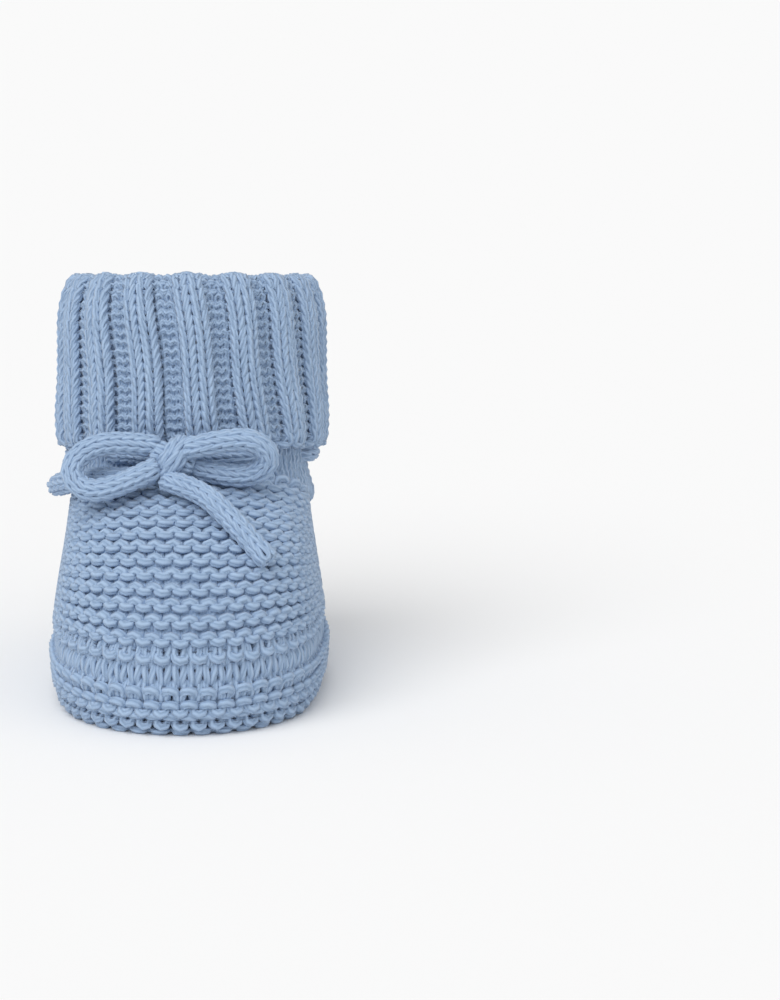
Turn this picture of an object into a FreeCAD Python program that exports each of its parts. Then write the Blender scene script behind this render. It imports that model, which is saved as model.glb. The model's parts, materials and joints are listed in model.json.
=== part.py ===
"""Knitted baby bootie, one of a pair, standing on its sole.

Frame: origin on the ground under the middle of the box, +Z up, the toe towards -Y. Millimetres.
The foot is lofted through ovals at rising heights and cut into its knitted zones. The leg, the eyelet band and the
turned-down 2 x 2 rib cuff are built upright in the leg's own frame, which leans back over the heel.
"""
import FreeCAD, Part
import math
import os

import Sketcher
from FreeCAD import Placement, Rotation, Vector

doc = FreeCAD.newDocument("knitted_bootie")

# ---------------------------------------------------------------- driving dimensions

DIMENSIONS = {
    "fabric": 3.0,             # thickness of the garter fabric
    "sole_top": 3.2,           # height of the foot side of the sole
    "seam_top": 4.4,           # top of the sewn join over the sole
    "welt_top": 9.2,           # top of the two garter ridges of the rim
    "band_top": 16.8,          # top of the stockinette band
    "panel_inset": 8.5,        # sole panel, in from the outline of the sole
    "instep_edge": -2.0,       # y of the instep's rear edge at the band
    "instep_lean": 24.0,       # degrees, the instep's rear edge leans back
    "seam_width": 1.6,         # width of each sewn join
    "lean": 10.0,              # degrees, the leg leans back over the heel
    "leg_y": 14.0,             # middle of the ankle
    "leg_z": 44.0,
    "leg_half_width": 23.8,
    "leg_half_depth": 21.0,
    "leg_fabric": 2.2,
    "eyelet_height": 7.0,      # height of the eyelet band
    "leg_height": 37.5,        # top of the leg tube, at the fold of the cuff
    "cuff_hem": 7.6,           # hem of the turned cuff
    "edge_height": 2.2,        # cast-off edge at the hem
    "cuff_top": 41.4,
    "cuff_half_width": 27.4,
    "cuff_half_depth": 24.2,
    "rib_depth": 1.5,          # a rib's crest over the ellipse of the cuff
    "rib_trough": 0.7,         # a trough between two ribs, under that ellipse
    "cuff_gap": 0.35,          # play between the cuff and the leg tube inside it
    "cord": 4.4,               # cord of the bow
    "ankle_cord": 4.0,         # the same cord, pulled tight through the eyelets
    "eyelet_play": 0.25,       # an eyelet's clearance round the cord
    "knot_radius": 4.8,
    "knot_x": -2.7,
    "knot_y": -15.4,
    "knot_z": 52.0,
}

RIBS = 16                      # raised ribs round the cuff, two knit stitches each
RIB_SHARE = 0.62               # share of the repeat that a raised rib takes up
EYELETS = 12                   # places where the cord goes through the band

# Ovals of the foot: height, toe, heel, half width, radius of the toe end, radius of the heel end.
FOOT_OVALS = [
    (0.0, -42.6, 42.6, 25.4, 24.2, 22.0),
    (4.4, -45.8, 45.8, 28.2, 26.8, 25.0),
    (9.2, -46.2, 46.2, 28.7, 27.2, 25.4),
    (16.8, -45.6, 45.8, 28.0, 26.6, 24.8),
    (27.0, -41.8, 44.0, 26.4, 25.2, 23.6),
    (36.0, -33.4, 40.0, 25.0, 24.0, 22.2),
    (43.0, -21.6, 35.6, 24.4, 23.4, 21.4),
    (49.0, -7.8, 34.6, 24.2, 26.0, 26.0),
    (56.0, -6.4, 35.6, 24.0, 26.0, 26.0),
]
OVAL_FIELDS = ("height", "toe", "heel", "half", "toe_radius", "heel_radius")

sheet = doc.addObject("Spreadsheet::Sheet", "Dimensions")


def put(row, name, value):
    """One named dimension on one row of the sheet."""
    sheet.set("A%d" % row, name)
    sheet.set("B%d" % row, str(value))
    sheet.setAlias("B%d" % row, name)


cells = dict(DIMENSIONS)
for number, oval in enumerate(FOOT_OVALS):
    for field, value in zip(OVAL_FIELDS, oval):
        cells["oval_%s_%d" % (field, number)] = value
for row, name in enumerate(cells, start=1):
    put(row, name, cells[name])
doc.recompute()


def dim(name):
    return float(sheet.get(name))


# ---------------------------------------------------------------- helpers

def origin_plane(body, role):
    return [f for f in body.Origin.OriginFeatures if f.Role == role][0]


def new_body(name):
    body = doc.addObject("PartDesign::Body", name)
    body.Label = name
    return body


def new_sketch(body, name, height="0"):
    """A sketch parallel to the body's XY plane, at a height given by an expression."""
    sketch = body.newObject("Sketcher::SketchObject", name)
    sketch.AttachmentSupport = [(origin_plane(body, "XY_Plane"), "")]
    sketch.MapMode = "FlatFace"
    sketch.setExpression("AttachmentOffset.Base.z", height)
    return sketch


def side_arc(toe, heel, half, toe_radius, heel_radius):
    """Radius and middle (along Y) of the side arcs that join the two end arcs at a given half width."""
    toe_mid = toe + toe_radius
    heel_mid = heel - heel_radius

    def gap(middle):
        first = (half ** 2 - toe_radius ** 2 + (middle - toe_mid) ** 2) / (half - toe_radius)
        second = (half ** 2 - heel_radius ** 2 + (middle - heel_mid) ** 2) / (half - heel_radius)
        return first - second

    low, high = toe_mid, heel_mid
    for _ in range(60):
        middle = 0.5 * (low + high)
        if gap(low) * gap(middle) <= 0:
            high = middle
        else:
            low = middle
    radius = (half ** 2 - toe_radius ** 2 + (middle - toe_mid) ** 2) / (2 * (half - toe_radius))
    return radius, middle


def meeting_angle(rise, side_x, side_is_larger):
    """Where an end arc meets the right side arc, as an angle about the side arc's middle."""
    way = 1 if side_is_larger else -1
    return math.atan2(way * rise, -way * side_x)


def oval_sketch(body, name, number, inset):
    """Four tangent arcs: toe, right side, heel, left side. The inset is an expression."""
    sketch = new_sketch(body, name, "Dimensions.oval_height_%d" % number)
    toe, heel, half, toe_r, heel_r = [dim("oval_%s_%d" % (f, number)) for f in OVAL_FIELDS[1:]]
    inwards = dim(inset) if inset else 0.0
    toe, heel, half, toe_r, heel_r = toe + inwards, heel - inwards, half - inwards, toe_r - inwards, heel_r - inwards
    side_r, side_y = side_arc(toe, heel, half, toe_r, heel_r)
    side_x = half - side_r
    toe_mid = Vector(0, toe + toe_r, 0)
    heel_mid = Vector(0, heel - heel_r, 0)
    turn_toe = meeting_angle(toe_mid.y - side_y, side_x, side_r > toe_r)
    turn_heel = meeting_angle(heel_mid.y - side_y, side_x, side_r > heel_r)
    up = Vector(0, 0, 1)

    def arc(middle, radius, start, end):
        return sketch.addGeometry(Part.ArcOfCircle(Part.Circle(middle, up, radius), start, end), False)

    toe_arc = arc(toe_mid, toe_r, math.pi - turn_toe, 2 * math.pi + turn_toe)
    right = arc(Vector(side_x, side_y, 0), side_r, turn_toe, turn_heel)
    heel_arc = arc(heel_mid, heel_r, turn_heel, math.pi - turn_heel)
    left = arc(Vector(-side_x, side_y, 0), side_r, math.pi - turn_heel, math.pi - turn_toe)
    width = sketch.addGeometry(Part.LineSegment(Vector(side_x, side_y, 0), Vector(half, side_y, 0)), True)

    def constrain(*what):
        return sketch.addConstraint(Sketcher.Constraint(*what))

    for first, second in ((toe_arc, right), (right, heel_arc), (heel_arc, left), (left, toe_arc)):
        constrain("Tangent", first, 2, second, 1)
    for end in (toe_arc, heel_arc):
        constrain("PointOnObject", end, 3, -2)
    constrain("Equal", right, left)
    constrain("Coincident", width, 1, right, 3)
    constrain("PointOnObject", width, 2, right)
    constrain("Horizontal", width)
    sizes = (
        ("DistanceY", -1, 1, toe_arc, 3, toe_mid.y, "%(toe)s + %(toe_radius)s"),
        ("DistanceY", -1, 1, heel_arc, 3, heel_mid.y, "%(heel)s - %(heel_radius)s"),
        ("Radius", toe_arc, toe_r, "%(toe_radius)s - %(inset)s"),
        ("Radius", heel_arc, heel_r, "%(heel_radius)s - %(inset)s"),
        ("DistanceX", -1, 1, width, 2, half, "%(half)s - %(inset)s"),
    )
    words = {f: "Dimensions.oval_%s_%d" % (f, number) for f in OVAL_FIELDS}
    words["inset"] = "Dimensions.%s" % inset if inset else "0"
    for size in sizes:
        index = constrain(*size[:-1])
        sketch.setExpression("Constraints[%d]" % index, size[-1] % words)
    return sketch


def loft(body, name, sketches):
    feature = body.newObject("PartDesign::AdditiveLoft", name)
    feature.Profile = sketches[0]
    feature.Sections = sketches[1:]
    feature.Ruled = False
    body.Tip = feature
    return feature


def boolean(kind, name, base, tool):
    feature = doc.addObject("Part::" + kind, name)
    feature.Base = base
    feature.Tool = tool
    feature.Label = name
    return feature


def box(name, **sizes):
    """A box whose Length, Width, Height and corner x, y, z are expressions."""
    feature = doc.addObject("Part::Box", name)
    for key, expression in sizes.items():
        target = key if key[0].isupper() else "Placement.Base." + key
        feature.setExpression(target, expression)
    feature.Label = name
    return feature


def fuse(name, pieces):
    feature = doc.addObject("Part::MultiFuse", name)
    feature.Shapes = pieces
    feature.Label = name
    return feature


SPAN = "160"                   # wider than the whole bootie
HALF_SPAN = "-80"


# ---------------------------------------------------------------- foot

def foot_form(name, inset):
    """The foot as a loft through all its ovals, or the space inside it when an inset is named."""
    body = new_body(name)
    sketches = [oval_sketch(body, "%s_%d" % (name, i), i, inset) for i in range(len(FOOT_OVALS))]
    loft(body, name + "_loft", sketches)
    return body


def stand_on_leg(feature, height="0"):
    """Place a feature on the leg's axis, which leans back over the heel, at a height along that axis."""
    feature.Placement = Placement(Vector(0, 0, 0), Rotation(Vector(-1, 0, 0), 1))
    feature.setExpression("Placement.Base.y", "Dimensions.leg_y + (%s) * sin(Dimensions.lean)" % height)
    feature.setExpression("Placement.Base.z", "Dimensions.leg_z + (%s) * cos(Dimensions.lean)" % height)
    feature.setExpression("Placement.Rotation.Angle", "Dimensions.lean")
    return feature


def slab(name, bottom, top):
    """Everything between two heights."""
    return box(name, Length=SPAN, Width=SPAN, Height="(%s) - (%s)" % (top, bottom),
               x=HALF_SPAN, y=HALF_SPAN, z=bottom)


def leg_disc(name, bottom, top):
    """Everything between two heights along the leg's axis."""
    disc = doc.addObject("Part::Cylinder", name)
    disc.setExpression("Radius", SPAN)
    disc.setExpression("Height", "(%s) - (%s)" % (top, bottom))
    return stand_on_leg(disc, bottom)


outside = foot_form("foot_outside", "")
inside = foot_form("foot_inside", "fabric")
hollow = boolean("Common", "foot_hollow", inside, slab("over_sole", "Dimensions.sole_top", SPAN))
above_ankle = leg_disc("above_ankle", "0", SPAN)
shell = boolean("Cut", "foot_shell", boolean("Cut", "foot_knit", outside, hollow), above_ankle)

# The sole: a panel inside a border, both up to the inside of the sole.
sole = boolean("Common", "sole_layer", shell, slab("under_foot", "0", "Dimensions.sole_top"))
panel_body = new_body("panel_outline")
panel_sketch = oval_sketch(panel_body, "panel_oval", 0, "panel_inset")
panel_pad = panel_body.newObject("PartDesign::Pad", "panel_pad")
panel_pad.Profile = panel_sketch
panel_pad.setExpression("Length", "Dimensions.sole_top")
panel_body.Tip = panel_pad
sole_panel = boolean("Common", "sole_panel", sole, panel_body)
sole_border = boolean("Cut", "sole_border", sole, panel_body)

# The wall above the sole, course by course.
sole_seam = boolean("Common", "sole_seam", shell,
                    slab("seam_slab", "Dimensions.sole_top", "Dimensions.seam_top"))
rim_welt = boolean("Common", "rim_welt", shell,
                   slab("welt_slab", "Dimensions.seam_top", "Dimensions.welt_top"))
stockinette_band = boolean("Common", "stockinette_band", shell,
                           slab("band_slab", "Dimensions.welt_top", "Dimensions.band_top"))
upper = boolean("Common", "foot_upper", shell, slab("upper_slab", "Dimensions.band_top", SPAN))


def behind_instep(name, width):
    """A slice behind the rear edge of the instep, which leans back as it rises."""
    space = box(name, Length=SPAN, Width=width, Height=SPAN,
                x=HALF_SPAN, y="Dimensions.instep_edge", z="Dimensions.band_top")
    space.Placement.Rotation = Rotation(Vector(-1, 0, 0), 1)
    space.setExpression("Placement.Rotation.Angle", "Dimensions.instep_lean")
    return space


LEFT = dict(x=HALF_SPAN, y=HALF_SPAN, z="0", Width=SPAN, Height=SPAN)
rear_space = behind_instep("rear_space", SPAN)
seam_space = behind_instep("instep_seam_space", "Dimensions.seam_width")
instep_panel = boolean("Cut", "instep_panel", upper, rear_space)
instep_seams = boolean("Common", "instep_seams", upper, seam_space)
quarters = boolean("Cut", "quarters", boolean("Common", "rear_upper", upper, rear_space), seam_space)
left_side = box("left_side", Length="80 - Dimensions.seam_width / 2", **LEFT)
right_side = box("right_side", Length="80", x="Dimensions.seam_width / 2", y=HALF_SPAN, z="0",
                 Width=SPAN, Height=SPAN)
middle = box("middle_slice", Length="Dimensions.seam_width", x="-Dimensions.seam_width / 2", y="0",
             z="0", Width=SPAN, Height=SPAN)
quarter_left = boolean("Common", "quarter_left", quarters, left_side)
quarter_right = boolean("Common", "quarter_right", quarters, right_side)
heel_seam = boolean("Common", "heel_seam", quarters, middle)
instep_seam_left = boolean("Common", "instep_seam_left", instep_seams, left_side)
instep_seam_right = boolean("Common", "instep_seam_right", instep_seams, right_side)

# ---------------------------------------------------------------- leg


def leg_prism(name, bottom, top, grow):
    """An elliptical prism on the leg's axis, larger than the leg tube all round by an expression."""
    ellipse = doc.addObject("Part::Ellipse", name + "_ellipse")
    ellipse.setExpression("MajorRadius", "Dimensions.leg_half_width + (%s)" % grow)
    ellipse.setExpression("MinorRadius", "Dimensions.leg_half_depth + (%s)" % grow)
    stand_on_leg(ellipse, bottom)
    prism = doc.addObject("Part::Extrusion", name)
    prism.Base = ellipse
    prism.DirMode = "Normal"
    prism.Solid = True
    prism.setExpression("LengthFwd", "(%s) - (%s)" % (top, bottom))
    return prism


FABRIC_IN = "-Dimensions.leg_fabric"
BAND = ("0", "Dimensions.eyelet_height")
TUBE = ("Dimensions.eyelet_height", "Dimensions.leg_height")
band_ring = boolean("Cut", "band_ring", leg_prism("band_outside", *BAND, "0"),
                    leg_prism("band_inside", *BAND, FABRIC_IN))
tube_ring = boolean("Cut", "tube_ring", leg_prism("tube_outside", *TUBE, "0"),
                    leg_prism("tube_inside", *TUBE, FABRIC_IN))


def back_slice(name):
    """The slice at the back of the leg that the back seam takes up."""
    space = doc.addObject("Part::Box", name)
    space.setExpression("Length", "Dimensions.seam_width")
    space.setExpression("Width", SPAN)
    space.setExpression("Height", SPAN)
    stand_on_leg(space)
    space.setExpression("Placement.Base.x", "-Dimensions.seam_width / 2")
    return space


leg_tube = boolean("Cut", "leg_tube", tube_ring, back_slice("tube_back"))
leg_seam = boolean("Common", "leg_seam", tube_ring, back_slice("leg_seam_back"))

# ---------------------------------------------------------------- turned-down cuff

# Outline of the cuff up the leg's axis: height, growth of the ellipse and share of the full rib depth.
CUFF_OUTLINE = [
    ("cuff_hem", 0.0, 0.2, 0.9),
    ("cuff_hem", 4.0, 0.7, 1.0),
    ("cuff_hem", 14.0, 0.3, 1.0),
    ("cuff_top", -9.0, 0.1, 1.0),
    ("cuff_top", -3.0, -0.3, 1.0),
    ("cuff_top", 0.0, -2.2, 0.7),
]


def leg_frame():
    turn = Rotation(Vector(-1, 0, 0), dim("lean"))
    return Placement(Vector(0, dim("leg_y"), dim("leg_z")), turn)


def rib_wire(height, half_width, half_depth, depth):
    """One closed course of the 2 x 2 rib: a wide arc outwards for each rib and a narrow one in for each trough."""
    def point(turn, out):
        angle = 2 * math.pi * turn / RIBS
        return Vector((half_width + out) * math.sin(angle), -(half_depth + out) * math.cos(angle), height)

    arcs = []
    for rib in range(RIBS):
        start, end, after = rib - RIB_SHARE / 2, rib + RIB_SHARE / 2, rib + 1 - RIB_SHARE / 2
        trough = -dim("rib_trough") * depth / dim("rib_depth")
        arcs.append(Part.Arc(point(start, 0), point(rib, depth), point(end, 0)).toShape())
        arcs.append(Part.Arc(point(end, 0), point(rib + 0.5, trough), point(after, 0)).toShape())
    return Part.Wire(arcs)


def ribbed_form():
    wires = []
    for base, rise, grow, share in CUFF_OUTLINE:
        half_width = dim("cuff_half_width") + grow - dim("rib_depth")
        half_depth = dim("cuff_half_depth") + grow - dim("rib_depth")
        wires.append(rib_wire(dim(base) + rise, half_width, half_depth, dim("rib_depth") * share))
    return Part.makeLoft(wires, True, False)


def own_shape(name, shape, placement=None):
    """A piece whose form comes from Part's own functions."""
    feature = doc.addObject("Part::Feature", name)
    feature.Shape = shape
    feature.Label = name
    if placement:
        feature.Placement = placement
    return feature


ribbed = own_shape("cuff_ribs", ribbed_form(), leg_frame())
play = leg_prism("cuff_over_leg", "0", "Dimensions.leg_height + Dimensions.cuff_gap", "Dimensions.cuff_gap")
throat = leg_prism("cuff_throat", "0", "2 * Dimensions.cuff_top", FABRIC_IN)
whole_cuff = boolean("Cut", "whole_cuff", ribbed, fuse("cuff_core", [play, throat]))
edge_slab = leg_disc("edge_slab", "Dimensions.cuff_hem", "Dimensions.cuff_hem + Dimensions.edge_height")
cuff_edge = boolean("Common", "cuff_edge", whole_cuff, edge_slab)
rib_part = boolean("Cut", "rib_part", whole_cuff, edge_slab)
turned_cuff = boolean("Cut", "turned_cuff", rib_part, back_slice("cuff_back"))
cuff_seam = boolean("Common", "cuff_seam", rib_part, back_slice("cuff_seam_back"))

# ---------------------------------------------------------------- cord

def routed_wire(name, points, diameter, closed=False):
    """Straight runs joined by tangent arcs as large as their runs allow."""
    edges = []
    start = points[0]
    radii = []
    for before, corner, after in zip(points, points[1:], points[2:]):
        into = (corner - before).normalize()
        out = (after - corner).normalize()
        turn = into.getAngle(out)
        cut = 0.45 * min((corner - before).Length, (after - corner).Length)
        radii.append(cut / math.tan(turn / 2))
        first = corner - into * cut
        last = corner + out * cut
        bulge = radii[-1] * (1 / math.cos(turn / 2) - 1)
        middle = corner + ((first + last) * 0.5 - corner).normalize() * bulge
        edges.append(Part.LineSegment(start, first).toShape())
        edges.append(Part.Arc(first, middle, last).toShape())
        start = last
    edges.append(Part.LineSegment(start, points[-1]).toShape())
    wire = Part.Wire(edges)
    words = ", ".join("%.1f" % radius for radius in radii)
    print("%s: length %.1f, radii %s (%.1f across)" % (name, wire.Length, words, diameter))
    return wire


def cord_tube(name, points, diameter, placement=None):
    wire = routed_wire(name, points, diameter)
    ring = Part.Wire(Part.makeCircle(diameter / 2, points[0], points[1] - points[0]))
    tube = wire.makePipeShell([ring], True, False)
    expected = math.pi * diameter ** 2 / 4 * wire.Length
    if abs(tube.Volume / expected - 1) > 0.02:
        raise RuntimeError("%s: the tube's volume is off by more than 2 %%" % name)
    return own_shape(name + "_tube", tube, placement)


def knot_middle():
    return Vector(dim("knot_x"), dim("knot_y"), dim("knot_z"))


def from_knot(points):
    """A route given from the middle of the knot: across, forwards (-) or back (+), up."""
    return [knot_middle() + Vector(*point) for point in points]


def weave():
    """Route of the cord round the ankle, inside and outside the band in turn, from knot to knot."""
    out = dim("ankle_cord") / 2 + 0.15
    height = dim("eyelet_height") / 2
    knot = leg_frame().inverse().multVec(knot_middle())
    ends = dim("knot_radius") - 0.6
    route = [Vector(knot.x + 0.45 * ends, knot.y + 0.85 * ends, height)]
    for place in range(1, EYELETS):
        inwards = place % 2 == 1
        grow = -dim("leg_fabric") - out if inwards else out
        angle = 2 * math.pi * place / EYELETS
        across = (dim("leg_half_width") + grow) * math.sin(angle)
        along = -(dim("leg_half_depth") + grow) * math.cos(angle)
        route.append(Vector(across, along, height))
    route.append(Vector(knot.x - 0.45 * ends, knot.y + 0.85 * ends, height))
    return route


CORD_ROUTES = {
    "bow_loop_left": [(-3.2, 1.0, 3.4), (-11.0, -1.0, 5.6), (-18.0, -2.0, 3.4), (-22.0, -3.2, -1.6),
                      (-18.6, -5.2, -6.2), (-11.5, -6.1, -4.8), (-4.3, -4.0, -0.8)],
    "bow_loop_right": [(3.6, -1.6, 2.6), (12.0, -3.0, 5.4), (18.6, -2.6, 5.0), (21.3, -1.4, 0.6),
                       (17.6, -0.4, -3.6), (10.0, 0.2, -3.4), (3.9, 1.2, -1.6)],
    "cord_tail_right": [(-1.5, -3.0, -3.8), (5.0, -6.9, -4.7), (11.8, -12.3, -8.4), (21.2, -17.4, -17.2)],
    "cord_tail_left": [(-3.2, 0.2, -4.1), (-10.2, -0.2, -4.15), (-17.4, 3.0, -4.6), (-23.4, 9.0, -6.2),
                       (-26.4, 16.5, -7.8)],
}


def knot_ball(name, grow):
    ball = doc.addObject("Part::Sphere", name)
    ball.setExpression("Radius", "Dimensions.knot_radius + (%s)" % grow)
    for axis in "xyz":
        ball.setExpression("Placement.Base." + axis, "Dimensions.knot_" + axis)
    ball.Label = name
    return ball


bow_knot = knot_ball("bow_knot", "0")
bow_pieces = []
for name, offsets in CORD_ROUTES.items():
    tube = cord_tube(name, from_knot(offsets), dim("cord"))
    bow_pieces.append(boolean("Cut", name, tube, knot_ball(name + "_clear", "Dimensions.cuff_gap")))

ankle_tube = cord_tube("ankle_cord", weave(), dim("ankle_cord"), leg_frame())
ankle_cord = boolean("Cut", "ankle_cord", ankle_tube, knot_ball("knot_on_ankle", "0"))
eyelets = cord_tube("eyelet_holes", weave(), dim("ankle_cord") + 2 * dim("eyelet_play"), leg_frame())
eyelet_band = boolean("Cut", "eyelet_band", band_ring, eyelets)

# ---------------------------------------------------------------- check and write

SUBPARTS = [
    sole_panel, sole_border, sole_seam, rim_welt, stockinette_band, instep_panel, quarter_left, quarter_right,
    instep_seam_left, instep_seam_right, heel_seam, eyelet_band, leg_tube, leg_seam, turned_cuff, cuff_edge,
    cuff_seam, ankle_cord, bow_knot,
] + bow_pieces

doc.recompute()
for item in doc.Objects:
    if {"Invalid", "Error"} & set(item.State):
        raise RuntimeError("%s did not build" % item.Name)

os.makedirs("parts", exist_ok=True)
for piece in SUBPARTS:
    shape = piece.Shape
    if shape.isNull() or not shape.isValid() or not shape.Solids:
        raise RuntimeError("%s is not a sound solid" % piece.Label)
    shape.exportStep("parts/%s.step" % piece.Label)
    print("%-18s %9.1f mm3  %d solid" % (piece.Label, shape.Volume, len(shape.Solids)))
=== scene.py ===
"""Knitted baby bootie: the courses of yarn, the woven cord and its bow, laid over the frame."""
import json
import math

import bpy
import numpy as np
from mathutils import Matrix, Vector
from mathutils.bvhtree import BVHTree


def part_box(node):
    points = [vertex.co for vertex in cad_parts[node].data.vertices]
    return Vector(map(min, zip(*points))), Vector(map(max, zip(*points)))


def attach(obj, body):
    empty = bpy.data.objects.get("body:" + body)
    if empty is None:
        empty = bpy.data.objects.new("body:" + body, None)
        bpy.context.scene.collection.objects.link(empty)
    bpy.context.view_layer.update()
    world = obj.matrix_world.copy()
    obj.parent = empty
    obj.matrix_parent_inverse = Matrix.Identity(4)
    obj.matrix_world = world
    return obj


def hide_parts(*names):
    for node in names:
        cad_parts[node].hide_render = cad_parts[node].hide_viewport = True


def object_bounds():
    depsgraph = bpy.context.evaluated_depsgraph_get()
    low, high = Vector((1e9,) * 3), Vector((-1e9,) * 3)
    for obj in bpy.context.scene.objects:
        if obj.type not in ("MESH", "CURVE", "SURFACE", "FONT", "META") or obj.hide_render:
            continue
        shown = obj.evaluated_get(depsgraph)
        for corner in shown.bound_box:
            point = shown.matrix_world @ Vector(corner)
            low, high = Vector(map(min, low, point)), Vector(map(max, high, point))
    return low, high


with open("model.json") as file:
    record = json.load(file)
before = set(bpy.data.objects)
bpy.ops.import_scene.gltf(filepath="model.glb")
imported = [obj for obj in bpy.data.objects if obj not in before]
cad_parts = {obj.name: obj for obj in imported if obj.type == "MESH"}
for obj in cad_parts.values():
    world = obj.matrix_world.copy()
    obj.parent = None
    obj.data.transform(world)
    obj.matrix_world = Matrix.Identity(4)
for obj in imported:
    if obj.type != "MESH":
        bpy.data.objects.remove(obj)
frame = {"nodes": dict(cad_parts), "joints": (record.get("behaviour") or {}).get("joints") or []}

bl_info = {
    "name": "Knitted Bootie",
    "version": (1, 0, 0),
    "blender": (4, 5, 0),
    "location": "View3D > Sidebar > Bootie",
    "description": "Knits a baby bootie, stitch by stitch, over its frame",
    "category": "Object",
}

MM = 0.001
CAD_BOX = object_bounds()
SLIDE = next(joint for joint in frame["joints"] if joint["type"] == "slide")
LEG_UP = np.array(SLIDE["axis"]) / np.linalg.norm(SLIDE["axis"])
LEG_BACK = np.array((0.0, LEG_UP[2], -LEG_UP[1]))
KNOT = np.array(next(joint for joint in frame["joints"] if joint["name"] == "left_bow_lift")["pos_m"])
SIDEWAYS = np.array((1.0, 0.0, 0.0))
UP = np.array((0.0, 0.0, 1.0))
TURN = 2 * math.pi

FORWARD = np.array((0.0, -1.0, 0.0))
FAR = 0.2                      # rays start this far from the middle of the bootie

SOLE_NODES = ("sole_panel", "sole_border")
WALL_NODES = ("sole_seam", "rim_welt", "stockinette_band")
UPPER_NODES = ("instep_panel", "quarter_left", "quarter_right", "instep_seam_left", "instep_seam_right",
               "heel_seam")


# ------------------------------------------------------------------ settings

class KnitSettings(bpy.types.PropertyGroup):
    """Yarn, gauge and colour of the whole bootie."""
    yarn: bpy.props.FloatProperty(
        name="Yarn", description="Thickness of the foot's yarn", default=1.92 * MM, unit="LENGTH")
    rib_yarn: bpy.props.FloatProperty(
        name="Rib yarn", description="Thickness of the cuff's yarn", default=1.45 * MM, unit="LENGTH")
    stitch: bpy.props.FloatProperty(
        name="Stitch width", description="Width of one garter stitch", default=3.7 * MM, unit="LENGTH")
    ridge: bpy.props.FloatProperty(
        name="Ridge", description="Height of one garter ridge, two courses", default=3.6 * MM,
        unit="LENGTH")
    rib_course: bpy.props.FloatProperty(
        name="Rib course", description="Height of one course of the rib", default=2.0 * MM,
        unit="LENGTH")
    ribs: bpy.props.IntProperty(name="Ribs", description="Raised ribs round the cuff", default=16)
    colour: bpy.props.FloatVectorProperty(
        name="Colour", description="Colour of the cotton", subtype="COLOR", size=3,
        default=(0.39, 0.52, 0.705))
    # Painted shade: a darker copy of the yarn's colour for the sheets behind the loops and the cords' cores,
    # standing for the shade in the gaps of the knitting.
    painted_gap_shade: bpy.props.FloatVectorProperty(
        name="Painted gap shade", description="Colour in the gaps of the knitting", subtype="COLOR", size=3,
        default=(0.17, 0.24, 0.37))


class CordSettings(bpy.types.PropertyGroup):
    """The knitted cord round the ankle and its bow."""
    diameter: bpy.props.FloatProperty(
        name="Diameter", description="Thickness of the bow's cord", default=4.4 * MM, unit="LENGTH")
    ankle_diameter: bpy.props.FloatProperty(
        name="Ankle diameter", description="Thickness of the cord in the eyelets", default=4.0 * MM,
        unit="LENGTH")
    yarn: bpy.props.FloatProperty(
        name="Yarn", description="Thickness of the cord's yarn", default=1.2 * MM, unit="LENGTH")
    stitches: bpy.props.IntProperty(name="Stitches", description="Stitches round the cord", default=5)
    course: bpy.props.FloatProperty(
        name="Course", description="Height of one course along the cord", default=2.4 * MM,
        unit="LENGTH")


class StageSettings(bpy.types.PropertyGroup):
    """Floor, light and camera."""
    elevation: bpy.props.FloatProperty(
        name="Elevation", description="Height of the camera's view above the horizon",
        default=math.radians(12.5), subtype="ANGLE")
    view_height: bpy.props.FloatProperty(
        name="View height", description="What the frame takes in from top to bottom", default=0.2145,
        unit="LENGTH")
    lens: bpy.props.FloatProperty(name="Lens", description="Focal length in millimetres", default=135.0)
    floor: bpy.props.FloatVectorProperty(
        name="Floor", description="Colour of the floor", subtype="COLOR", size=3,
        default=(0.92, 0.92, 0.92))


def knit():
    return bpy.context.scene.bootie_knit


def cord_settings():
    return bpy.context.scene.bootie_cord


# ------------------------------------------------------------------ surfaces of the frame

def frame_surface(nodes):
    """A ray-casting tree of some of the frame's nodes."""
    points = []
    faces = []
    for name in nodes:
        mesh = frame["nodes"][name].data
        first = len(points)
        points += [vertex.co.copy() for vertex in mesh.vertices]
        faces += [[first + index for index in polygon.vertices] for polygon in mesh.polygons]
    return BVHTree.FromPolygons(points, faces)


def unit(vectors):
    return vectors / np.maximum(np.linalg.norm(vectors, axis=-1, keepdims=True), 1e-12)


def reach_along(line):
    """How far along a line each of its points lies."""
    return np.concatenate([[0], np.cumsum(np.linalg.norm(np.diff(line, axis=0), axis=1))])


def line_at(places, reach, line):
    """A line's points, or values given at its points, read at places along it."""
    return np.stack([np.interp(places, reach, line[:, axis]) for axis in range(3)], axis=1)


def ring(surface, middle, forward, side, count=240):
    """Outline of a surface in a plane, from the back round both sides, by rays from outside."""
    points = []
    last = None
    for angle in np.linspace(-math.pi, math.pi, count, endpoint=False):
        way = Vector(side * math.sin(angle) + forward * math.cos(angle))
        hit = surface.ray_cast(Vector(middle) + way * FAR, -way)[0]
        last = hit if hit is not None else last
        points.append(np.array(last if last is not None else middle))
    return np.array(points)


def smoothed(points, harmonics):
    """A closed outline with only its lowest waves kept."""
    waves = np.fft.rfft(points, axis=0)
    waves[harmonics + 1:] = 0
    return np.fft.irfft(waves, n=len(points), axis=0)


def even(points, count, closed=True):
    """The same line with its points evenly spaced."""
    line = np.vstack([points, points[:1]]) if closed else points
    reach = reach_along(line)
    out = line_at(np.linspace(0, reach[-1], count + 1 if closed else count), reach, line)
    return out[:-1] if closed else out


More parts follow.
